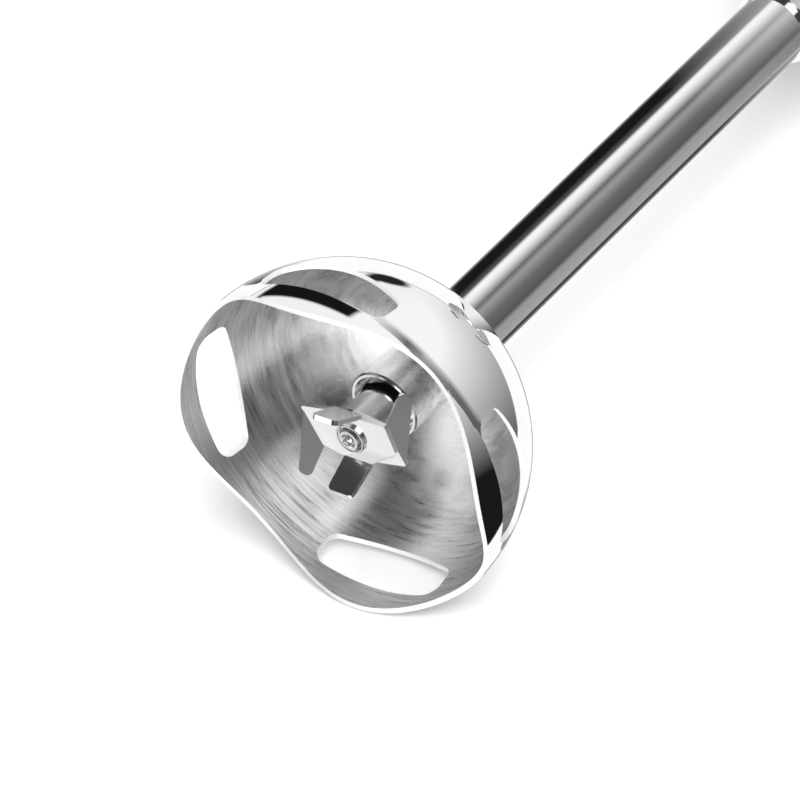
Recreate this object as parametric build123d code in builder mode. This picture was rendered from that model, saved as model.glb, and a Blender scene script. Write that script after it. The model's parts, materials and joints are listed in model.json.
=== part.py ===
from build123d import *
import math
import os

os.makedirs("parts", exist_ok=True)

# ---- driving sizes, mm: the tool lies along +Y, its drive axis AXIS_Z above the floor ----
tool_end = 388.0            # stations run along the drive axis, from 1 mm inside the rim tips
rim_tips = -1.0
tube_length = 159.8
nominal_tube_length = 159.8  # the length that the stations below are given for
tube_middle = 90.0          # stations past it move with the tube's length
overall_length = tool_end - rim_tips + tube_length - nominal_tube_length
bell_radius = 33.0
bell_wall = 1.0
axis_z = bell_radius
tube_radius = 7.0
tube_wall = 0.8
shaft_radius = 2.5
hub_radius = 4.6
handle_radius = 28.5
handle_wall = 2.2
running_gap = 0.05          # radial, shafts in bushes and bearings
weld_gap = 0.02             # radial, pieces welded or pressed together
part_gap = 0.3              # between pieces that move past each other
lobe_depth = 4.8            # rim lobes, tip to valley
sphere_station = rim_tips + lobe_depth  # the bell's sphere centre
column_start = 16.2         # lower end of the tube inside the bell
tube_end = column_start + nominal_tube_length
handle_start = 190.0
spigot_end = 206.0
spigot_radius = 17.0
blade_station = 7.0         # middle of the blade plate
blade_thickness = 1.0
rear_station = blade_station + blade_thickness + 0.02
short_bend = 64.0           # degrees, out of the plate
swept_bend = 48.0
blade_turn = -42.6          # degrees, blade at rest about the drive axis
motor_start = 262.0
motor_length = 62.0
can_radius = 23.5
rotor_radius = 13.0
button_long = 18.2
button_wide = 14.2
power_station = 231.0
turbo_station = 254.0

DRIVE = Axis((0, 0, axis_z), (0, 1, 0))
SIDE = Plane((0, 0, axis_z), x_dir=(1, 0, 0), z_dir=(0, 0, 1))


def y_at(station):
    """A station along the tool as the frame's Y."""
    if station > tube_middle:
        station += tube_length - nominal_tube_length
    return station - rim_tips - overall_length / 2


def across(station):
    """Section plane at a station: its x is -X and its y is up."""
    return Plane((0, y_at(station), axis_z), x_dir=(-1, 0, 0), z_dir=(0, 1, 0))


def outward(angle, radius):
    """Plane facing away from the drive axis: its y runs along the tool."""
    c, s = math.cos(math.radians(angle)), math.sin(math.radians(angle))
    return Plane((radius * c, 0, axis_z + radius * s), x_dir=(s, 0, -c), z_dir=(c, 0, s))


def save(piece, name):
    piece.part.label = name
    export_step(piece.part, f"parts/{name}.step")


def turned(points):
    """Turned piece from (radius, station) corners."""
    with BuildPart() as piece:
        with BuildSketch(SIDE):
            with BuildLine():
                Polyline([(r, y_at(s)) for r, s in points], close=True)
            make_face()
        revolve(axis=DRIVE)
    return piece


def ring(inner, outer, start, end, edge=0.0):
    """Plain ring or disc with optional chamfered outer edges."""
    e = edge
    if e:
        return turned([(inner, start), (outer - e, start), (outer, start + e),
                       (outer, end - e), (outer - e, end), (inner, end)])
    return turned([(inner, start), (outer, start), (outer, end), (inner, end)])


# ---------------------------------------------------------------- foot: bell guard
def bell_guard():
    r, w, c = bell_radius, bell_wall, y_at(sphere_station)
    ri = r - w
    low = lobe_depth + 1.0
    hole = tube_radius + weld_gap
    with BuildPart() as bell:
        with BuildSketch(SIDE):
            with BuildLine():
                a0, a1 = -math.asin(low / r), math.acos(hole / r)
                b0, b1 = -math.asin(low / ri), math.acos(hole / ri)
                am, bm = (a0 + a1) / 2, (b0 + b1) / 2
                p = [(r * math.cos(a), c + r * math.sin(a)) for a in (a0, am, a1)]
                q = [(ri * math.cos(a), c + ri * math.sin(a)) for a in (b0, bm, b1)]
                ThreePointArc(p[0], p[1], p[2])
                Line(p[2], q[2])
                ThreePointArc(q[2], q[1], q[0])
                Line(q[0], p[0])
            make_face()
        revolve(axis=DRIVE)
        # wavy rim: a ruled ring between two waves, cut away towards the mouth
        waves = []
        for radius in (r + 6, r - 10):
            pts = []
            for i in range(48):
                t = 2 * math.pi * i / 48
                s = sphere_station - lobe_depth / 2 * (1 + math.cos(4 * t))
                pts.append((radius * math.cos(t), y_at(s), axis_z + radius * math.sin(t)))
            waves.append(Edge.make_spline([Vector(*q) for q in pts], periodic=True))
        ruled = Face.make_surface_from_curves(waves[0], waves[1])
        extrude(to_extrude=ruled, amount=14, dir=(0, -1, 0), mode=Mode.SUBTRACT)
        # four D-shaped slots
        half, near, far, crown = 13.2, 0.7, 7.0, 10.0
        with BuildSketch(*[outward(a, r + 5) for a in (0, 90, 180, 270)]):
            with BuildLine():
                lo, hi, top = c + near, c + far, c + crown
                Polyline([(-half, hi), (-half, lo), (half, lo), (half, hi)])
                ThreePointArc((half, hi), (0, top), (-half, hi))
            face = make_face()
            fillet(face.vertices(), 2.6)
        extrude(amount=-18, mode=Mode.SUBTRACT)
    return bell


save(bell_guard(), "bell_guard")


# ---------------------------------------------------------------- foot: tube and bearings
def shaft_tube():
    r, i = tube_radius, tube_radius - tube_wall
    return turned([(i, column_start), (r - 0.3, column_start), (r, column_start + 0.3),
                   (r, tube_end), (i, tube_end)])


save(shaft_tube(), "shaft_tube")

tube_bore = tube_radius - tube_wall
seal_bore = shaft_radius + running_gap


def weld_collar():
    """Small concave fillet ring between the bell's dome and the tube."""
    inner, wide = tube_radius + weld_gap, tube_radius + 1.5
    dome = [sphere_station + math.sqrt(bell_radius ** 2 - r ** 2) + 0.06 for r in (inner, wide)]
    mid = (inner + wide) / 2
    dome_mid = sphere_station + math.sqrt(bell_radius ** 2 - mid ** 2) + 0.06
    with BuildPart() as collar:
        with BuildSketch(SIDE):
            with BuildLine():
                ThreePointArc((inner, y_at(dome[0])), (mid, y_at(dome_mid)), (wide, y_at(dome[1])))
                Line((wide, y_at(dome[1])), (wide - 0.05, y_at(dome[1] + 0.12)))
                ThreePointArc((wide - 0.05, y_at(dome[1] + 0.12)), (inner + 0.45, y_at(dome[0] + 0.55)),
                              (inner + 0.08, y_at(dome[0] + 2.0)))
                Polyline([(inner + 0.08, y_at(dome[0] + 2.0)), (inner, y_at(dome[0] + 2.0)),
                          (inner, y_at(dome[0]))])
            make_face()
        revolve(axis=DRIVE)
    return collar


save(weld_collar(), "weld_collar")
save(ring(shaft_radius + 0.08, tube_bore - weld_gap, 24.0, 26.5), "shaft_seal")
save(ring(seal_bore, tube_bore - weld_gap, 27.0, 41.0, 0.4), "lower_bush")
save(ring(tube_bore - 1.2, tube_bore - weld_gap, 22.4, 23.6), "seal_retainer")
save(ring(seal_bore, tube_bore - weld_gap, 160.0, 174.0, 0.4), "upper_bush")
save(ring(seal_bore, tube_bore - weld_gap, 96.0, 102.0, 0.4), "middle_bush")


def foot_collar():
    """Flared plastic collar, and the spigot that plugs into the handle."""
    bore = tube_radius + weld_gap
    with BuildPart() as collar:
        with BuildSketch(SIDE):
            with BuildLine():
                Spline([(bore + 1.2, y_at(148)), (bore + 3.0, y_at(160)), (17.5, y_at(176)),
                        (24.0, y_at(187))])
                Polyline([(24.0, y_at(187)), (24.0, y_at(handle_start - part_gap)),
                          (spigot_radius, y_at(handle_start - part_gap)),
                          (spigot_radius, y_at(197)), (15.8, y_at(197.6)), (15.8, y_at(199.4)),
                          (spigot_radius, y_at(200)), (spigot_radius, y_at(spigot_end - 1)),
                          (spigot_radius - 1, y_at(spigot_end)), (13.5, y_at(spigot_end)),
                          (13.5, y_at(182)), (bore, y_at(180)), (bore, y_at(148)),
                          (bore + 1.2, y_at(148))])
            make_face()
        revolve(axis=DRIVE)
        # three keys that stop the foot turning in the handle
        with BuildSketch(across(handle_start - part_gap)):
            with PolarLocations(spigot_radius - 0.4, 3, start_angle=90):
                Rectangle(3.4, 3.0)
        extrude(amount=6)
    return collar


save(foot_collar(), "foot_collar")
save(ring(tube_radius + weld_gap, tube_radius + 1.1, 145.0, 147.8, 0.3), "collar_trim_ring")

# ---------------------------------------------------------------- blade set, turns in the foot
dog_end = 205.0
tip = 5.5                   # the shaft's lower end, turned down and centre drilled
save(turned([(0, tip + 0.15), (0.6, tip + 0.3), (0.75, tip + 0.9), (1.2, tip + 0.9), (1.3, tip + 0.1),
             (1.45, tip), (1.95, tip), (2.1, tip + 0.15), (2.1, tip + 1.0), (shaft_radius, tip + 1.1),
             (shaft_radius, 196.0), (0, 196.0)]), "drive_shaft")


def hub_sleeve():
    bore = shaft_radius + weld_gap
    top = rear_station + blade_thickness / 2 + 0.02
    return turned([(bore, top), (hub_radius, top), (hub_radius, 17.0), (3.6, 18.0),
                   (3.6, 22.2), (bore, 22.2)])


def hub_cap():
    """Ring nut that holds the blade: a groove and a raised rim round the shaft end."""
    bore = shaft_radius + weld_gap
    face = blade_station - blade_thickness / 2 - 0.02
    return turned([(bore, face), (bore, face - 0.5), (bore + 0.12, face - 0.62),
                   (2.95 - 0.12, face - 0.62), (2.95, face - 0.5), (2.95, face)])


save(hub_sleeve(), "hub_sleeve")
save(hub_cap(), "blade_nut")


def turn(a, b):
    """Blade layout coordinates to X and height above the drive axis."""
    t = math.radians(blade_turn)
    return (a * math.cos(t) - b * math.sin(t), a * math.sin(t) + b * math.cos(t))


def wing_plane(station, start, end, bend_angle, towards_mouth):
    """Plane of a bent wing: x along the bend line, y out along the wing."""
    (x0, z0), (x1, z1) = turn(*start), turn(*end)
    d = Vector(x1 - x0, 0, z1 - z0).normalized()
    out = Vector(d.Z, 0, -d.X)
    mid = Vector((x0 + x1) / 2, 0, (z0 + z1) / 2)
    if out.dot(mid) < 0:
        out = out * -1
    bend = math.radians(bend_angle)
    lean = out * math.cos(bend) + Vector(0, -1 if towards_mouth else 1, 0) * math.sin(bend)
    return Plane((x0, y_at(station), axis_z + z0), x_dir=d, z_dir=d.cross(lean))


wing_root = -0.35           # how far a wing's outline reaches into its plate
short_wing = [(0, wing_root), (0.1, 7.2), (5.3, 7.2), (5.74, wing_root)]
swept_wing = [(0.1, wing_root), (10.4, 6.3), (12.5, 5.1), (8.15, wing_root)]
corner_radius = 0.45


def bent_plate(station, outline, wings):
    """Stamped plate with wings bent out of it: (shape, start, end, bend, towards the mouth)."""
    half = blade_thickness / 2
    with BuildPart() as plate:
        with BuildSketch(across(station)):
            with BuildLine():
                FilletPolyline([(-turn(a, b)[0], turn(a, b)[1]) for a, b in outline],
                               radius=corner_radius, close=True)
            make_face()
            Circle(shaft_radius + weld_gap, mode=Mode.SUBTRACT)
        extrude(amount=half, both=True)
        for shape, start, end, bend_angle, mouth in wings:
            with BuildSketch(wing_plane(station, start, end, bend_angle, mouth)):
                with BuildLine():
                    Polyline(shape, close=True)
                wing = make_face()
                fillet(wing.vertices().sort_by(Axis.Y)[-2:], 1.0)
            extrude(amount=half * 0.9, both=True)
    return plate


def blade_plate():
    """Front plate with two short wings and one swept wing bent towards the mouth."""
    outline = [(-10.25, -4.19), (-2.77, -7.44), (1.48, -5.12), (5.85, -1.40),
               (7.32, 5.79), (2.71, 8.81), (-1.48, 5.12), (-5.85, 1.40)]
    return bent_plate(blade_station, outline,
                      [(short_wing, outline[2], outline[3], short_bend, True),
                       (short_wing, outline[6], outline[7], short_bend, True),
                       (swept_wing, outline[0], outline[1], swept_bend, True)])


def rear_blade_plate():
    """Plate behind it with one swept wing bent towards the tube."""
    outline = [(-3.2, -3.2), (5.85, -1.40), (10.25, 4.19), (2.77, 7.44), (-3.2, 3.8)]
    return bent_plate(rear_station, outline,
                      [(swept_wing, outline[2], outline[3], swept_bend, False)])


save(blade_plate(), "blade")
save(rear_blade_plate(), "rear_blade")


def shaft_dog():
    """Star drive at the top of the foot's shaft."""
    with BuildPart() as dog:
        with BuildSketch(across(186.0)):
            Circle(6.0)
        extrude(amount=9)
        with BuildSketch(across(195.0)):
            RegularPolygon(4.2, 6)
        extrude(amount=dog_end - 195.0)
        with BuildSketch(across(186.0)):
            Circle(shaft_radius + weld_gap)
        extrude(amount=10.05, mode=Mode.SUBTRACT)
    return dog


save(shaft_dog(), "shaft_dog")
save(ring(shaft_radius + weld_gap, 4.6, 175.0, 176.2), "shaft_circlip")

# ---------------------------------------------------------------- motor rotor, turns in the handle
rotor_mid = motor_start + motor_length / 2
save(ring(0, shaft_radius, 212.0, 344.0, 0.4), "rotor_shaft")


def drive_socket():
    """Female hex socket over the foot's star drive."""
    with BuildPart() as socket:
        with BuildSketch(across(196.2)):
            Circle(9.0)
        extrude(amount=26)
        with BuildSketch(across(196.2)):
            RegularPolygon(4.2 + part_gap, 6)
        extrude(amount=14, mode=Mode.SUBTRACT)
        with BuildSketch(across(210.0)):
            Circle(shaft_radius + weld_gap)
        extrude(amount=13, mode=Mode.SUBTRACT)
        chamfer(socket.edges().filter_by(GeomType.CIRCLE).group_by(Axis.Y)[0], 0.8)
    return socket


save(drive_socket(), "drive_socket")


def rotor_core():
    with BuildPart() as core:
        with BuildSketch(across(rotor_mid - 15)):
            Circle(rotor_radius)
            Circle(shaft_radius + weld_gap, mode=Mode.SUBTRACT)
            with PolarLocations(rotor_radius - 1.5, 12):
                Rectangle(4.5, 1.6, mode=Mode.SUBTRACT)
        extrude(amount=30)
    return core


save(rotor_core(), "rotor_core")
save(ring(4.5, 11.5, rotor_mid - 21.5, rotor_mid - 15.1, 1.5), "rotor_winding_front")
save(ring(4.5, 11.5, rotor_mid + 15.1, rotor_mid + 21.5, 1.5), "rotor_winding_back")
save(ring(shaft_radius + weld_gap, 7.5, rotor_mid + 24, rotor_mid + 36, 0.4), "commutator")


def cooling_fan():
    with BuildPart() as fan:
        with BuildSketch(across(242.8)):
            Circle(19.0)
            Circle(shaft_radius + weld_gap, mode=Mode.SUBTRACT)
        extrude(amount=1.4)
        with BuildSketch(across(244.1)):
            with PolarLocations(13.5, 12):
                Rectangle(9.0, 1.2, rotation=25)
        extrude(amount=5.5)
        with BuildSketch(across(244.1)):
            Circle(6.0)
            Circle(shaft_radius + weld_gap, mode=Mode.SUBTRACT)
        extrude(amount=5.5)
    return fan


save(cooling_fan(), "cooling_fan")


# ---------------------------------------------------------------- handle: shells
def handle_outline(inset):
    """(radius, station) points of the handle's side, inset from the skin."""
    ends = [(24.0, handle_start), (24.8, 204.0), (27.0, 228.0), (28.5, 262.0),
            (28.0, 300.0), (26.3, 335.0), (25.6, 352.0)]
    return [(r / 28.5 * handle_radius - inset, y_at(s)) for r, s in ends]


def shell_half(side):
    skin, lining = handle_outline(0), handle_outline(handle_wall)
    with BuildPart() as shell:
        with BuildSketch(SIDE):
            with BuildLine():
                Spline(skin)
                Line(skin[-1], lining[-1])
                Spline(lining)
                Line(lining[0], skin[0])
            make_face()
        revolve(axis=DRIVE)
        # keep one half, with a hairline joint between the two
        keep = -side * 40 + side * 0.05
        with BuildSketch(Plane.XY.offset(axis_z + keep - 40)):
            Rectangle(120, 480)
        extrude(amount=80, mode=Mode.SUBTRACT)
        if side > 0:
            for station in (power_station, turbo_station):
                with BuildSketch(Plane((0, y_at(station), axis_z + 20))):
                    SlotOverall(button_long + 0.8, button_wide + 0.8, rotation=90)
                extrude(amount=20, mode=Mode.SUBTRACT)
        for angle in (0, 180):
            with BuildSketch(outward(angle, handle_radius + 5)):
                with Locations((0, y_at(211.0))):
                    RectangleRounded(13.0, 11.0, 2.5)
                for k in range(5):
                    with Locations((0, y_at(322.0 + 5 * k))):
                        SlotOverall(16, 2.0)
            extrude(amount=-16, mode=Mode.SUBTRACT)
    return shell


save(shell_half(1), "front_shell")
save(shell_half(-1), "rear_shell")


def soft_grip():
    """Rubber back of the handle, with two feet that stop it rolling."""
    skin, face = handle_outline(-0.05), handle_outline(-1.6)
    with BuildPart() as grip:
        with BuildSketch(SIDE):
            with BuildLine():
                Spline(skin[1:-1])
                Line(skin[-2], face[-2])
                Spline(face[1:-1])
                Line(face[1], skin[1])
            make_face()
        revolve(axis=DRIVE)
        with BuildSketch(Plane.XY.offset(axis_z - 8)):
            Rectangle(120, 480)
        extrude(amount=80, mode=Mode.SUBTRACT)
        for station in (240.0, 312.0):
            with BuildSketch(Plane((0, y_at(station), 0))):
                RectangleRounded(26.0, 12.0, 4.0)
            extrude(amount=axis_z - 25.0)
        with BuildSketch(SIDE):
            with BuildLine():
                Spline(skin)
                Line(skin[-1], (0, skin[-1][1]))
                Line((0, skin[-1][1]), (0, skin[0][1]))
                Line((0, skin[0][1]), skin[0])
            make_face()
        revolve(axis=DRIVE, mode=Mode.SUBTRACT)
    return grip


save(soft_grip(), "soft_grip")


def coupling_sleeve():
    """Socket in the handle that takes the foot's spigot."""
    bore = spigot_radius + part_gap
    with BuildPart() as sleeve:
        with BuildSketch(across(handle_start + 0.5)):
            Circle(20.6)
            Circle(bore, mode=Mode.SUBTRACT)
        extrude(amount=19.5)
        with BuildSketch(across(209.5)):
            Circle(20.6)
            Circle(9.0 + part_gap, mode=Mode.SUBTRACT)
        extrude(amount=2.0)
        with BuildSketch(across(handle_start + 0.5)):
            with PolarLocations(spigot_radius + 0.2, 3, start_angle=90):
                Rectangle(4.2, 3.8)
        extrude(amount=7, mode=Mode.SUBTRACT)
        with BuildSketch(outward(0, 30), outward(180, 30)):
            with Locations((0, y_at(198.5))):
                Rectangle(10.0, 2.6)
        extrude(amount=-14, mode=Mode.SUBTRACT)
    return sleeve


save(coupling_sleeve(), "coupling_sleeve")


def latch_spring():
    """Wire ring that snaps into the spigot's groove, with two legs to the buttons."""
    with BuildPart() as wire:
        with BuildSketch(SIDE):
            with Locations((16.75, y_at(198.5))):
                Circle(0.5)
        revolve(axis=DRIVE)
        for x in (-1, 1):
            with BuildSketch(Plane((x * 17.0, y_at(198.5), axis_z), x_dir=(0, 1, 0), z_dir=(x, 0, 0))):
                Circle(0.5)
            extrude(amount=3.0)
    return wire


save(latch_spring(), "latch_spring")


# ---------------------------------------------------------------- handle: motor
def motor_can():
    r = can_radius
    with BuildPart() as can:
        with BuildSketch(across(motor_start)):
            Circle(r)
            Circle(rotor_radius + 0.6, mode=Mode.SUBTRACT)
            with Locations((0, r), (0, -r)):
                Rectangle(26, 6, mode=Mode.SUBTRACT)
            for x in (-1, 1):
                with Locations((x * 17.2, 0)):
                    Rectangle(5.0, 20.0, mode=Mode.SUBTRACT)
        extrude(amount=motor_length - 24)
    return can


def field_coil(side):
    with BuildPart() as coil:
        with BuildSketch(Plane((side * 17.2, y_at(motor_start + 19), axis_z),
                               x_dir=(0, 1, 0), z_dir=(side, 0, 0))):
            RectangleRounded(46, 19.0, 4)
            RectangleRounded(39, 6.0, 2, mode=Mode.SUBTRACT)
        extrude(amount=1.7, both=True)
    return coil


def bracket(station, inner, outer):
    with BuildPart() as plate:
        with BuildSketch(across(station)):
            Circle(outer)
            Circle(inner, mode=Mode.SUBTRACT)
            with PolarLocations(16.5, 6, start_angle=30):
                Circle(4.2, mode=Mode.SUBTRACT)
        extrude(amount=3)
        with BuildSketch(across(station)):
            Circle(inner + 2)
            Circle(inner, mode=Mode.SUBTRACT)
        extrude(amount=6)
    return plate


save(motor_can(), "motor_can")
save(field_coil(1), "field_coil_right")
save(field_coil(-1), "field_coil_left")
save(bracket(236.0, 8.0 + weld_gap, can_radius - 2.0), "lower_motor_bracket")
save(bracket(336.0, 8.0 + weld_gap, can_radius), "upper_motor_bracket")
save(ring(shaft_radius + running_gap, 8.0, 236.4, 241.4, 0.3), "lower_motor_bearing")
save(ring(shaft_radius + running_gap, 8.0, 336.4, 341.4, 0.3), "upper_motor_bearing")
save(ring(can_radius + 0.05, can_radius + 1.6, 266.0, 270.0, 0.4), "damper_ring_lower")
save(ring(can_radius + 0.05, can_radius + 1.6, 292.0, 296.0, 0.4), "damper_ring_upper")


def brush(side, holder):
    station = rotor_mid + 30
    start = 7.5 + (2.0 if holder else 0.08)
    with BuildPart() as block:
        with BuildSketch(Plane((side * start, y_at(station), axis_z), x_dir=(0, 1, 0),
                               z_dir=(side, 0, 0))):
            if holder:
                Rectangle(8.0, 7.0)
                Rectangle(6.1, 5.1, mode=Mode.SUBTRACT)
            else:
                Rectangle(6.0, 5.0)
        extrude(amount=12.0 if holder else 8.0)
    return block


save(brush(1, False), "carbon_brush_right")
save(brush(-1, False), "carbon_brush_left")
save(brush(1, True), "brush_holder_right")
save(brush(-1, True), "brush_holder_left")


# ---------------------------------------------------------------- handle: buttons
def top_button(station, crown):
    """Button in the front shell, its stem reaching to its switch."""
    with BuildPart() as button:
        with BuildSketch(Plane((0, y_at(station), axis_z + 24.3))):
            SlotOverall(button_long, button_wide, rotation=90)
        extrude(amount=crown)
        fillet(button.faces().sort_by(Axis.Z)[-1].edges(), 1.2)
        with BuildSketch(Plane((0, y_at(station), axis_z + 22.3))):
            SlotOverall(5.0, 3.0, rotation=90)
        extrude(amount=2.05)
    return button


def push_spring(station):
    """Coil spring between a button and its switch."""
    foot = Vector(0, y_at(station), axis_z + 20.6)
    with BuildPart() as spring:
        with BuildLine() as path:
            Helix(pitch=1.05, height=3.15, radius=4.0, center=foot)
        with BuildSketch(Plane(path.line @ 0, z_dir=path.line % 0)):
            Circle(0.3)
        sweep()
    return spring


def switch_block(station):
    with BuildPart() as block:
        with BuildSketch(Plane((0, y_at(station), axis_z + 12.5))):
            Rectangle(10.0, 8.0)
        extrude(amount=6.2)
        with BuildSketch(Plane((0, y_at(station), axis_z + 18.7))):
            Circle(1.2)
        extrude(amount=1.2)
    return block


save(switch_block(power_station), "power_switch")
save(switch_block(turbo_station), "turbo_switch")
save(top_button(power_station, 6.4), "power_button")
save(top_button(turbo_station, 7.2), "turbo_button")


save(push_spring(power_station), "power_spring")
save(push_spring(turbo_station), "turbo_spring")


def release_button(side):
    """Side button that spreads the latch wire."""
    with BuildPart() as button:
        base = Plane((side * 22.4, y_at(211.0), axis_z), x_dir=(0, 1, 0), z_dir=(side, 0, 0))
        with BuildSketch(base):
            RectangleRounded(10.4, 12.4, 2.2)
        extrude(amount=5.2)
        fillet(button.faces().sort_by(Axis.X)[-1 if side > 0 else 0].edges(), 1.0)
    return button


save(release_button(1), "release_button_right")
save(release_button(-1), "release_button_left")


# ---------------------------------------------------------------- handle: end, dial, cord inlet
def end_cap():
    """Closed end of the handle with the dial's neck, a hanging eye and the cord hole."""
    with BuildPart() as cap:
        with BuildSketch(SIDE):
            with BuildLine():
                Polyline([(7.0, y_at(352.3)), (25.4, y_at(352.3)), (25.4, y_at(356.0)),
                          (20.0, y_at(356.0)), (20.0, y_at(366.6)), (24.6, y_at(366.6)),
                          (24.6, y_at(368.5))])
                ThreePointArc((24.6, y_at(368.5)), (21.5, y_at(375.0)), (15.0, y_at(379.0)))
                Polyline([(15.0, y_at(379.0)), (7.0, y_at(380.0)), (7.0, y_at(352.3))])
            make_face()
        revolve(axis=DRIVE)
        with BuildSketch(Plane((0, 0, axis_z + 12.0))):
            with Locations((0, y_at(374.0))):
                RectangleRounded(12.0, 2 * (tool_end - 374.0), 5.0)
        extrude(amount=5.0)
        with BuildSketch(Plane((0, 0, axis_z + 12.0))):
            with Locations((0, y_at(tool_end - 5.6))):
                Circle(2.5)
        extrude(amount=10.0, mode=Mode.SUBTRACT)
    return cap


save(end_cap(), "end_cap")


def speed_dial():
    with BuildPart() as dial:
        with BuildSketch(across(356.4)):
            Circle(25.4)
            Circle(20.0 + part_gap, mode=Mode.SUBTRACT)
            with PolarLocations(25.4, 48):
                Circle(0.55, mode=Mode.SUBTRACT)
        extrude(amount=9.8)
    return dial


save(speed_dial(), "speed_dial")


def inlet_bush():
    return turned([(3.6, 350.0), (9.5, 350.0), (9.5, 352.0), (7.0 - weld_gap, 352.0),
                   (7.0 - weld_gap, 380.4), (6.4, 385.0), (3.6, 385.0)])


save(inlet_bush(), "cord_inlet_bush")


def circuit_board():
    with BuildPart() as board:
        with BuildSketch(across(345.0)):
            Circle(21.0)
            with Locations((0, 0)):
                Circle(4.0, mode=Mode.SUBTRACT)
        extrude(amount=1.6)
    return board


def capacitor():
    with BuildPart() as block:
        with BuildSketch(across(346.62)):
            with Locations((0, -14.5)):
                RectangleRounded(13.0, 6.0, 1.0)
        extrude(amount=5.0)
    return block


save(circuit_board(), "circuit_board")
save(capacitor(), "suppression_capacitor")
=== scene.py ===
import json
import math
import bmesh
import bpy
from mathutils import Matrix, Vector


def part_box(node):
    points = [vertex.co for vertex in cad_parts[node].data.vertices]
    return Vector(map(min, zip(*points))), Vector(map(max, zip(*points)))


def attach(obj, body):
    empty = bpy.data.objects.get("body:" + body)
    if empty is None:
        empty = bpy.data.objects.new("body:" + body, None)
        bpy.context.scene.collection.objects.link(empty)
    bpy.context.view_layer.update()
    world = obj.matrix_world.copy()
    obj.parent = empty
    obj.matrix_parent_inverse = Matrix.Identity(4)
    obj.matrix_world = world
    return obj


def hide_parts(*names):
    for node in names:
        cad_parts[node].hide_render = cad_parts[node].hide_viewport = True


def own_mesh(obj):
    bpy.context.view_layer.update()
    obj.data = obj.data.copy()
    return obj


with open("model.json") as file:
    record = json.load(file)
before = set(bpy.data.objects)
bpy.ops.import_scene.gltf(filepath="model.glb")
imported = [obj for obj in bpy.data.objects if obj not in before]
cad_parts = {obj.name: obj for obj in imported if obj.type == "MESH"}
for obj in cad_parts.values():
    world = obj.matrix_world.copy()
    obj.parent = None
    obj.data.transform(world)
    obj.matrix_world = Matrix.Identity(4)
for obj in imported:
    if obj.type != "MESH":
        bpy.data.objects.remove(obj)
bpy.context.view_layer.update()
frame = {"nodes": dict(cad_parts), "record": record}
bpy.context.scene.view_settings.view_transform = "Standard"

# ---------------------------------------------------------------- places, from the frame
MM = 0.001
bell_low, bell_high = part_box("bell_guard")
AXIS_Z = (bell_high.z + bell_low.z) / 2
MOUTH = bell_low.y                                 # plane of the rim's tips
LOBE_DEPTH = 4.8 * MM
CENTRE = Vector((0, MOUTH + LOBE_DEPTH, AXIS_Z))   # the bell's sphere centre


# ---------------------------------------------------------------- materials
LINES = 2200.0                                     # turning marks per metre


def new_material(name):
    mat = bpy.data.materials.new(name)
    mat.use_nodes = True
    nodes = mat.node_tree.nodes
    nodes.clear()
    out = nodes.new("ShaderNodeOutputMaterial")
    shader = nodes.new("ShaderNodeBsdfPrincipled")
    mat.node_tree.links.new(shader.outputs["BSDF"], out.inputs["Surface"])
    return mat, nodes, mat.node_tree.links, shader


def object_place(nodes, links, scale, centre=(0, 0, 0)):
    """Object coordinates, moved so that centre is the origin and then scaled."""
    coord = nodes.new("ShaderNodeTexCoord")
    shift = nodes.new("ShaderNodeVectorMath")
    shift.operation = "SUBTRACT"
    shift.inputs[1].default_value = centre
    links.new(coord.outputs["Object"], shift.inputs[0])
    stretch = nodes.new("ShaderNodeVectorMath")
    stretch.operation = "MULTIPLY"
    stretch.inputs[1].default_value = scale
    links.new(shift.outputs[0], stretch.inputs[0])
    return stretch.outputs[0]


def noise(nodes, links, vector, scale, detail=4.0, rough=0.55):
    tex = nodes.new("ShaderNodeTexNoise")
    tex.inputs["Scale"].default_value = scale
    tex.inputs["Detail"].default_value = detail
    tex.inputs["Roughness"].default_value = rough
    links.new(vector, tex.inputs["Vector"])
    return tex.outputs["Fac"]


def ranged(nodes, links, value, low, high, start=0.3, end=0.7):
    """A noise value spread over low to high."""
    span = nodes.new("ShaderNodeMapRange")
    span.inputs["From Min"].default_value = start
    span.inputs["From Max"].default_value = end
    span.inputs["To Min"].default_value = low
    span.inputs["To Max"].default_value = high
    links.new(value, span.inputs["Value"])
    return span.outputs["Result"]


def bump(nodes, links, shader, height, strength, distance):
    node = nodes.new("ShaderNodeBump")
    node.inputs["Strength"].default_value = strength
    node.inputs["Distance"].default_value = distance
    links.new(height, node.inputs["Height"])
    links.new(node.outputs["Normal"], shader.inputs["Normal"])
    return node


def tint(nodes, links, shader, value, dark, light):
    mix = nodes.new("ShaderNodeMix")
    mix.data_type = "RGBA"
    mix.inputs["A"].default_value = (*dark, 1)
    mix.inputs["B"].default_value = (*light, 1)
    links.new(value, mix.inputs["Factor"])
    links.new(mix.outputs["Result"], shader.inputs["Base Color"])


def mirror_steel(name, rough=0.018, smear=0.05, colour=(0.93, 0.93, 0.94)):
    """Buffed stainless steel with faint wipe marks and a slight hand-polished wave."""
    mat, nodes, links, shader = new_material(name)
    shader.inputs["Metallic"].default_value = 1.0
    place = object_place(nodes, links, (1, 1, 1), CENTRE)
    marks = noise(nodes, links, place, 90.0, 6.0, 0.6)
    links.new(ranged(nodes, links, marks, rough, rough + smear, 0.45, 0.8), shader.inputs["Roughness"])
    tint(nodes, links, shader, marks, tuple(c * 0.97 for c in colour), colour)
    wave = noise(nodes, links, place, 45.0, 1.0, 0.4)
    bump(nodes, links, shader, wave, 0.06, 0.0004)
    return mat


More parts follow.
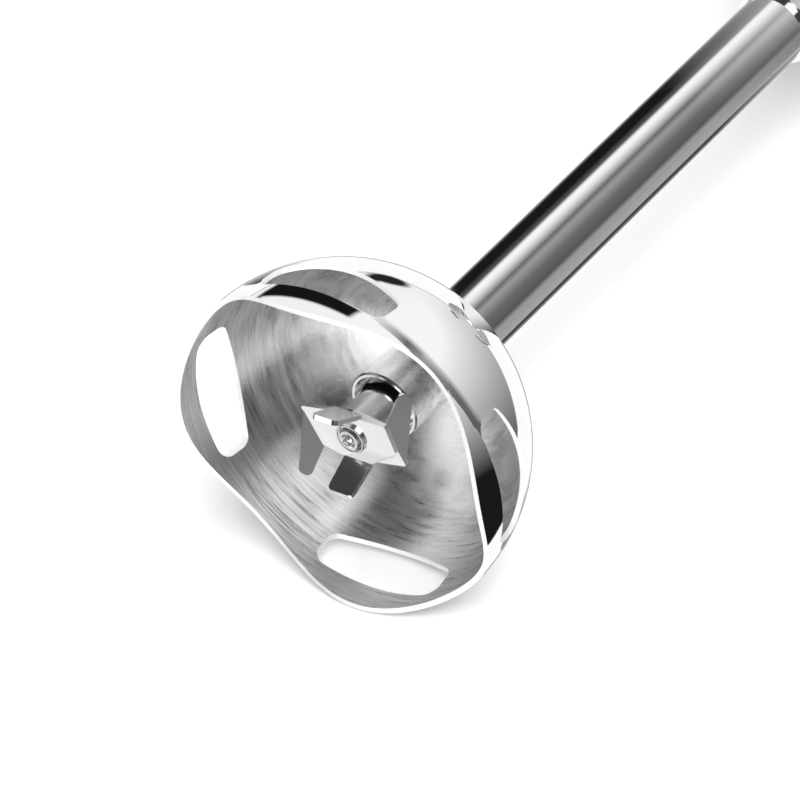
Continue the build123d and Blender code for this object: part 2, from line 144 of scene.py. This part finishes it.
def turned_steel(name, rough, aniso, colour, line=1.0, depth=0.25, spread=0.0, arcs=1.0, dark=0.86):
    """Steel with fine lines running round the drive axis, left by spinning or turning."""
    mat, nodes, links, shader = new_material(name)
    shader.inputs["Metallic"].default_value = 1.0
    shader.inputs["Anisotropic"].default_value = aniso
    tangent = nodes.new("ShaderNodeTangent")
    tangent.direction_type = "RADIAL"
    tangent.axis = "Y"
    shader.inputs["Anisotropic Rotation"].default_value = spread
    links.new(tangent.outputs["Tangent"], shader.inputs["Tangent"])
    place = object_place(nodes, links, (1, 1, 1), CENTRE)
    parts = nodes.new("ShaderNodeSeparateXYZ")
    links.new(place, parts.inputs[0])
    radial = nodes.new("ShaderNodeCombineXYZ")
    links.new(parts.outputs["X"], radial.inputs["X"])
    links.new(parts.outputs["Z"], radial.inputs["Y"])
    length = nodes.new("ShaderNodeVectorMath")
    length.operation = "LENGTH"
    links.new(radial.outputs[0], length.inputs[0])
    around = nodes.new("ShaderNodeVectorMath")
    around.operation = "NORMALIZE"
    links.new(radial.outputs[0], around.inputs[0])
    turn = nodes.new("ShaderNodeSeparateXYZ")
    links.new(around.outputs[0], turn.inputs[0])
    across = nodes.new("ShaderNodeMath")
    across.operation = "MULTIPLY_ADD"
    across.inputs[1].default_value = LINES * line
    links.new(length.outputs["Value"], across.inputs[0])
    along = nodes.new("ShaderNodeMath")
    along.operation = "MULTIPLY"
    along.inputs[1].default_value = LINES * line
    links.new(parts.outputs["Y"], along.inputs[0])
    links.new(along.outputs[0], across.inputs[2])
    groove = nodes.new("ShaderNodeCombineXYZ")
    links.new(across.outputs[0], groove.inputs["X"])
    for way_round, socket in (("X", "Y"), ("Y", "Z")):
        run = nodes.new("ShaderNodeMath")
        run.operation = "MULTIPLY"
        run.inputs[1].default_value = arcs
        links.new(turn.outputs[way_round], run.inputs[0])
        links.new(run.outputs[0], groove.inputs[socket])
    lines = noise(nodes, links, groove.outputs[0], 1.0, 5.0, 0.65)
    links.new(ranged(nodes, links, lines, rough * 0.7, rough * 1.35), shader.inputs["Roughness"])
    streaks = ranged(nodes, links, lines, 0.0, 1.0, 0.35, 0.65)
    tint(nodes, links, shader, streaks, tuple(c * dark for c in colour), colour)
    bump(nodes, links, shader, lines, depth, 0.00003)
    return mat


def plain_metal(name, colour, rough, grain=260.0, metallic=1.0):
    mat, nodes, links, shader = new_material(name)
    shader.inputs["Metallic"].default_value = metallic
    place = object_place(nodes, links, (1, 1, 1))
    grit = noise(nodes, links, place, grain, 6.0, 0.65)
    links.new(ranged(nodes, links, grit, rough * 0.75, rough * 1.3), shader.inputs["Roughness"])
    tint(nodes, links, shader, grit, tuple(c * 0.88 for c in colour), colour)
    bump(nodes, links, shader, grit, 0.12, 0.00005)
    return mat


def moulded(name, colour, rough, grain=900.0, depth=0.25, coat=0.0):
    """Moulded plastic or rubber with a fine spark-eroded grain and faint handling marks."""
    mat, nodes, links, shader = new_material(name)
    shader.inputs["Coat Weight"].default_value = coat
    shader.inputs["Coat Roughness"].default_value = 0.08
    place = object_place(nodes, links, (1, 1, 1))
    fine = noise(nodes, links, place, grain, 3.0, 0.5)
    broad = noise(nodes, links, place, 40.0, 4.0, 0.6)
    links.new(ranged(nodes, links, broad, rough * 0.85, min(1.0, rough * 1.15)), shader.inputs["Roughness"])
    tint(nodes, links, shader, broad, tuple(c * 0.92 for c in colour), colour)
    bump(nodes, links, shader, fine, depth, 0.00004)
    return mat


polished = mirror_steel("polished guard steel")
tube_steel = mirror_steel("polished tube steel", 0.02, 0.04)
spun = turned_steel("spun guard lining", 0.3, 0.93, (0.8, 0.8, 0.81), 1.1, 0.5, 0.25, 2.5, 0.6)
# cut edges: a real satin roughness, but coloured near-white and part non-metal as a painted highlight
edge_steel_painted_highlight = plain_metal("edge steel with painted highlight", (0.97, 0.97, 0.98), 0.5, metallic=0.45)
blade_flat = plain_metal("ground blade steel", (0.8, 0.8, 0.81), 0.16, 90.0)
hub_steel = turned_steel("turned hub steel", 0.16, 0.5, (0.72, 0.72, 0.73), 2.0, 0.15)
shaft_steel = turned_steel("ground shaft steel", 0.2, 0.4, (0.66, 0.66, 0.67), 2.0, 0.15)
black_rubber = moulded("black rubber", (0.02, 0.02, 0.021), 0.62)
grip_rubber = moulded("soft grip rubber", (0.035, 0.036, 0.04), 0.7, 1100.0, 0.4)
dark_plastic = moulded("charcoal plastic", (0.03, 0.031, 0.034), 0.34, 1300.0, 0.15)
shell_plastic = moulded("pale handle plastic", (0.36, 0.365, 0.37), 0.3, 1300.0, 0.04, 0.25)
button_plastic = moulded("grey button plastic", (0.16, 0.165, 0.175), 0.4, 1200.0, 0.2)
bronze = plain_metal("sintered bronze", (0.55, 0.36, 0.17), 0.4, 1200.0)
lamination = plain_metal("stamped laminations", (0.3, 0.3, 0.32), 0.45)
copper = plain_metal("enamelled copper wire", (0.62, 0.24, 0.1), 0.3)
zinc = plain_metal("die-cast zinc", (0.6, 0.61, 0.63), 0.42)
carbon = moulded("pressed graphite", (0.02, 0.02, 0.02), 0.55)
brass = plain_metal("stamped brass", (0.72, 0.52, 0.22), 0.3)
board_green = moulded("lacquered board", (0.02, 0.16, 0.06), 0.3)
capacitor_yellow = moulded("moulded capacitor case", (0.7, 0.5, 0.05), 0.35)

FINISH = {
    "polished_steel": tube_steel, "blade_steel": blade_flat, "shaft_steel": shaft_steel,
    "black_rubber": black_rubber, "grip_rubber": grip_rubber, "bronze": bronze,
    "dark_plastic": dark_plastic, "shell_plastic": shell_plastic,
    "button_plastic": button_plastic, "lamination_steel": lamination, "copper": copper,
    "zinc_plate": zinc, "carbon": carbon, "brass": brass, "board_green": board_green,
    "capacitor_yellow": capacitor_yellow,
}


def dress(obj, *mats):
    obj.data.materials.clear()
    for m in mats:
        obj.data.materials.append(m)


for row in frame["record"]["subparts"]:
    dress(frame["nodes"][row["node"]], FINISH[row["material_slot"]])
dress(frame["nodes"]["hub_sleeve"], hub_steel)
dress(frame["nodes"]["blade_nut"], hub_steel)
dress(frame["nodes"]["weld_collar"], polished)

# ---------------------------------------------------------------- bell: three finishes on its faces; the rim and slot faces get whitened steel, a painted highlight
bell = frame["nodes"]["bell_guard"]
dress(bell, polished, spun, edge_steel_painted_highlight)
OUTWARD = 0.9                                      # how squarely a face looks away from the centre
for face in bell.data.polygons:
    way = (face.center - CENTRE).normalized().dot(face.normal)
    face.material_index = 0 if way > OUTWARD else 1 if way < -OUTWARD else 2

# ---------------------------------------------------------------- tube: its cut end is only turned
tube = frame["nodes"]["shaft_tube"]
dress(tube, tube_steel, hub_steel)
turned_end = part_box("shaft_tube")[0].y + 0.4 * MM
for face in tube.data.polygons:
    face.material_index = 1 if face.center.y < turned_end else 0

# ---------------------------------------------------------------- blade: broken edges, their faces whitened as a painted highlight
BROKEN_EDGE = 0.16 * MM
for name in ("blade", "rear_blade"):
    dress(frame["nodes"][name], blade_flat, edge_steel_painted_highlight)
    edge = frame["nodes"][name].modifiers.new("broken edges", "BEVEL")
    edge.material = 1
    edge.width = BROKEN_EDGE
    edge.segments = 2
    edge.limit_method = "ANGLE"
    edge.angle_limit = math.radians(35)

# ---------------------------------------------------------------- button springs, as copies carried by the handle
SAME_POINT = 0.001 * MM


def coil_spring(node):
    """Stands for the spring under a button: a copy with doubled points merged, carried by the handle."""
    bm = bmesh.new()
    bm.from_mesh(frame["nodes"][node].data)
    bmesh.ops.remove_doubles(bm, verts=bm.verts, dist=SAME_POINT)
    mesh = bpy.data.meshes.new(node + "_coil")
    bm.to_mesh(mesh)
    bm.free()
    coil = bpy.data.objects.new(node + "_coil", mesh)
    bpy.context.collection.objects.link(coil)
    dress(coil, shaft_steel)
    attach(coil, "handle")
    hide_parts(node)
    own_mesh(coil)


coil_spring("power_spring")
coil_spring("turbo_spring")

# ---------------------------------------------------------------- camera's angle, also the studio's
AZIMUTH, ELEVATION, ROLL = 41.64, 35.9, 10.8       # degrees
BACK = Vector((math.sin(math.radians(AZIMUTH)) * math.cos(math.radians(ELEVATION)),
               -math.cos(math.radians(AZIMUTH)) * math.cos(math.radians(ELEVATION)),
               math.sin(math.radians(ELEVATION))))


# ---------------------------------------------------------------- stage: floor, sky, lights
def studio_floor():
    bm = bmesh.new()
    bmesh.ops.create_grid(bm, x_segments=1, y_segments=1, size=3.0)
    mesh = bpy.data.meshes.new("floor")
    bm.to_mesh(mesh)
    bm.free()
    floor = bpy.data.objects.new("floor", mesh)
    bpy.context.collection.objects.link(floor)
    mat, nodes, links, shader = new_material("white sweep")
    shader.inputs["Base Color"].default_value = (0.93, 0.93, 0.93, 1)
    shader.inputs["Roughness"].default_value = 0.9
    shader.inputs["Specular IOR Level"].default_value = 0.1
    dress(floor, mat)
    floor.visible_glossy = False


def sky_card(nodes, links, way, heart, spread, soft):
    """1 inside a round card in the direction heart, falling to 0 at its soft edge."""
    dot = nodes.new("ShaderNodeVectorMath")
    dot.operation = "DOT_PRODUCT"
    dot.inputs[1].default_value = Vector(heart).normalized()
    links.new(way, dot.inputs[0])
    c = math.cos(math.radians(spread))
    return ranged(nodes, links, dot.outputs["Value"], 0.0, 1.0, c - soft, c + soft)


def blend_value(nodes, links, factor, under, over):
    """over where factor is 1 and under where it is 0; each is a number or a socket."""
    mix = nodes.new("ShaderNodeMix")
    mix.data_type = "FLOAT"
    links.new(factor, mix.inputs["Factor"])
    for socket, value in ((mix.inputs["A"], under), (mix.inputs["B"], over)):
        if isinstance(value, float):
            socket.default_value = value
        else:
            links.new(value, socket)
    return mix.outputs["Result"]


def times(nodes, links, one, other):
    product = nodes.new("ShaderNodeMath")
    product.operation = "MULTIPLY"
    links.new(one, product.inputs[0])
    links.new(other, product.inputs[1])
    return product.outputs[0]


def window(nodes, links, value, start, end, soft, soft_end=None):
    """1 between start and end, falling to 0 over soft at each side, or over soft_end past the end."""
    rise = ranged(nodes, links, value, 0.0, 1.0, start - soft, start)
    fall = ranged(nodes, links, value, 1.0, 0.0, end, end + (soft_end or soft))
    return times(nodes, links, rise, fall)


def wall_of_cards(nodes, links, way):
    """Grey cards beside the tube, as brightness by angle about the drive axis, and a black flag."""
    parts = nodes.new("ShaderNodeSeparateXYZ")
    links.new(way, parts.inputs[0])
    angle = nodes.new("ShaderNodeMath")
    angle.operation = "ARCTAN2"
    links.new(parts.outputs["Z"], angle.inputs[0])
    links.new(parts.outputs["X"], angle.inputs[1])
    share = ranged(nodes, links, angle.outputs[0], 0.0, 1.0, -math.pi, math.pi)
    ramp = nodes.new("ShaderNodeValToRGB")
    links.new(share, ramp.inputs["Fac"])
    stops = ((-180, 0.01), (-170, 0.1), (-145, 0.7), (-110, 0.3), (-90, 0.05), (-80, 0.05),
             (-75, 0.4), (-30, 0.35), (-15, 0.1), (20, 0.15), (50, 0.35), (65, 0.15), (90, 0.8),
             (100, 1.0), (110, 1.0), (120, 0.1), (140, 0.01), (180, 0.01))
    band = ramp.color_ramp.elements
    for k, (degrees, level) in enumerate(stops):
        at = (degrees + 180) / 360
        stop = band[k] if k < 2 else band.new(at)
        stop.position = at
        stop.color = (level, level, level, 1)
    along = parts.outputs["Y"]
    beside_tube = window(nodes, links, along, 0.622, 0.664, 0.004, 0.05)
    flag_height = window(nodes, links, along, 0.535, 0.617, 0.02)
    flag_width = window(nodes, links, share, (102 + 180) / 360, (162 + 180) / 360, 0.01)
    return beside_tube, ramp.outputs["Color"], times(nodes, links, flag_height, flag_width)


def studio_sky():
    world = bpy.data.worlds.new("studio")
    bpy.context.scene.world = world
    world.use_nodes = True
    nodes, links = world.node_tree.nodes, world.node_tree.links
    nodes.clear()
    out = nodes.new("ShaderNodeOutputWorld")
    back = nodes.new("ShaderNodeBackground")
    links.new(back.outputs[0], out.inputs["Surface"])
    coord = nodes.new("ShaderNodeTexCoord")
    way = coord.outputs["Generated"]
    beside_tube, wall, flag = wall_of_cards(nodes, links, way)
    parts = nodes.new("ShaderNodeSeparateXYZ")
    links.new(way, parts.inputs[0])
    # behind the tool: light from above, falling off towards the low right
    lean = nodes.new("ShaderNodeVectorMath")
    lean.operation = "DOT_PRODUCT"
    lean.inputs[1].default_value = (-0.35, 0.0, 1.0)
    links.new(way, lean.inputs[0])
    falloff = ranged(nodes, links, lean.outputs["Value"], 0.01, 1.0, -0.65, 0.3)
    left = ranged(nodes, links, parts.outputs["X"], 1.0, 0.0, -0.25, -0.02)
    behind = blend_value(nodes, links, left, falloff, 0.95)
    # in front of it: a dark studio with soft boxes
    ahead = 0.06
    for heart, spread, soft, level in (
            ((0.6, -0.22, 0.77), 30.0, 0.06, 5.5),
            ((-0.35, -0.2, -0.92), 26.0, 0.06, 2.2),
            ((-0.6, -0.77, 0.2), 18.0, 0.06, 2.3),
            ((0.05, -0.85, -0.53), 20.0, 0.06, 3.2),
            ((0.59, -0.72, -0.36), 18.0, 0.06, 0.7),
            ((-0.54, -0.61, -0.59), 14.0, 0.03, 1.15)):
        card = sky_card(nodes, links, way, heart, spread, soft)
        ahead = blend_value(nodes, links, card, ahead, level)
    turned_away = ranged(nodes, links, parts.outputs["Y"], 0.0, 1.0, 0.05, 0.3)
    shade = blend_value(nodes, links, turned_away, ahead, behind)
    for heart, spread, soft, level in (
            (-BACK, 46.6, 0.003, 0.35),
            (-BACK, 45.8, 0.003, 1.05),
            (-BACK, 13.0, 0.004, 0.3),
            ((-0.364, 0.914, 0.186), 5.5, 0.002, 0.02)):
        card = sky_card(nodes, links, way, heart, spread, soft)
        shade = blend_value(nodes, links, card, shade, level)
    shade = blend_value(nodes, links, flag, shade, 0.008)
    shade = blend_value(nodes, links, beside_tube, shade, wall)
    links.new(shade, back.inputs["Color"])
    back.inputs["Strength"].default_value = 1.0


def soft_box(name, place, size, watts):
    data = bpy.data.lights.new(name, "AREA")
    data.shape = "RECTANGLE"
    data.size, data.size_y = size
    data.energy = watts
    obj = bpy.data.objects.new(name, data)
    bpy.context.collection.objects.link(obj)
    obj.location = place
    obj.visible_glossy = False
    aim = CENTRE + Vector((0, 0.12, 0))
    obj.rotation_euler = (aim - Vector(place)).to_track_quat("-Z", "Y").to_euler()


studio_floor()
studio_sky()
soft_box("key light", CENTRE + Vector((0.43, -0.5, 0.76)) * 1.3, (0.5, 0.5), 3.0)
soft_box("top light", (-0.3, 0.1, 1.4), (1.2, 1.2), 2.0)

# ---------------------------------------------------------------- camera
DISTANCE = 0.95
LENS = 247.0
ACROSS, ABOVE = 9.95 * MM, 8.05 * MM              # aim, right of and above the bell's centre


def set_camera():
    back, r = BACK, math.radians(ROLL)
    level = (-back).cross(Vector((0, 0, 1))).normalized()
    upright = level.cross(-back).normalized()
    right = level * math.cos(r) - upright * math.sin(r)
    up = level * math.sin(r) + upright * math.cos(r)
    data = bpy.data.cameras.new("camera")
    data.lens = LENS
    data.sensor_width = 36.0
    data.clip_start, data.clip_end = 0.01, 50.0
    cam = bpy.data.objects.new("camera", data)
    bpy.context.collection.objects.link(cam)
    turn = Matrix((right, up, back)).transposed().to_4x4()
    cam.matrix_world = Matrix.Translation(CENTRE + right * ACROSS + up * ABOVE + back * DISTANCE) @ turn
    bpy.context.scene.camera = cam


set_camera()
